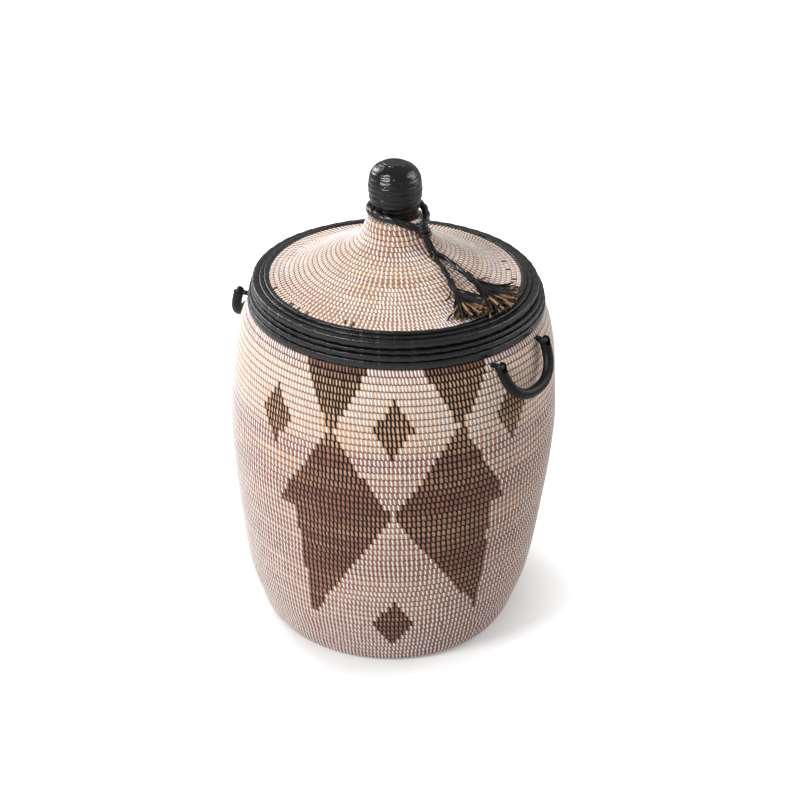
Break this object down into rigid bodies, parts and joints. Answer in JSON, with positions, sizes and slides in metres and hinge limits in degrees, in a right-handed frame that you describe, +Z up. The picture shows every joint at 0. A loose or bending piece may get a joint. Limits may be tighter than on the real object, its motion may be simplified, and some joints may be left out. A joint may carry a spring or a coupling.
{
  "type": "lidded seagrass basket",
  "caption": "Tall barrel-shaped coiled seagrass basket with a leather-bound rim, a lift-off pointed lid with a leather-wound knob and hanging tassel, and swinging leather loop handles",
  "frame": {"origin": "middle of the base, on the surface that the basket stands on", "axes": "+Z up along the basket's axis; -Y towards the front of the pattern; +X to the right seen from the front"},
  "size_m": [0.4, 0.4, 0.5949],
  "materials": {
    "seagrass": "dry natural plant fibre, matt",
    "seagrass_lid": "dry natural plant fibre, matt",
    "grass_core": "dry natural plant fibre, matt",
    "leather_rim": "black, satin",
    "leather_knob": "black, polished by handling",
    "leather_handle": "black, satin, wrinkled",
    "leather_lace": "black, satin",
    "leather_fringe": "dark, matt, with tan cut edges"
  },
  "bodies": {
    "basket_body": {"base_coil": "seagrass", "wall_coil": "seagrass", "body_rim_coil_1": "leather_rim", "body_rim_coil_2": "leather_rim", "body_rim_coil_3": "leather_rim", "right_handle_lace_front": "leather_lace", "right_handle_lace_back": "leather_lace", "left_handle_lace_front": "leather_lace", "left_handle_lace_back": "leather_lace"},
    "lid": {"lid_coil": "seagrass_lid", "lid_rim_coil_1": "leather_rim", "lid_rim_coil_2": "leather_rim", "lid_rim_coil_3": "leather_rim", "lid_locating_ring": "seagrass_lid", "knob_core": "grass_core", "knob_cover": "leather_knob", "knob_top_patch": "leather_knob"},
    "tassel": {"tassel_loop": "leather_lace", "tassel_knot": "leather_lace", "tassel_strand_left": "leather_lace", "tassel_strand_right": "leather_lace", "tassel_binding_left": "leather_lace", "tassel_binding_right": "leather_lace", "tassel_fringe_left": "leather_fringe", "tassel_fringe_right": "leather_fringe"},
    "right_handle": {"right_handle_core": "leather_handle", "right_handle_grip": "leather_handle"},
    "left_handle": {"left_handle_core": "leather_handle", "left_handle_grip": "leather_handle"}
  },
  "joints": [
    {"name": "lid_lift", "type": "slide", "parent": "basket_body", "child": "lid", "axis": [0, 0, 1], "range_m": [0, 0.25]},
    {"name": "tassel_turn", "type": "hinge", "parent": "lid", "child": "tassel", "pos_m": [0, 0, 0.5379], "axis": [0, 0, 1], "continuous": true},
    {"name": "right_handle_swing", "type": "hinge", "parent": "basket_body", "child": "right_handle", "pos_m": [0.14564, -0.11793, 0.4122], "axis": [-0.6293, -0.7771, 0], "range_deg": [0, 150]},
    {"name": "left_handle_swing", "type": "hinge", "parent": "basket_body", "child": "left_handle", "pos_m": [-0.17375, 0.0702, 0.4122], "axis": [0.3746, 0.9272, 0], "range_deg": [0, 150]}
  ]
}
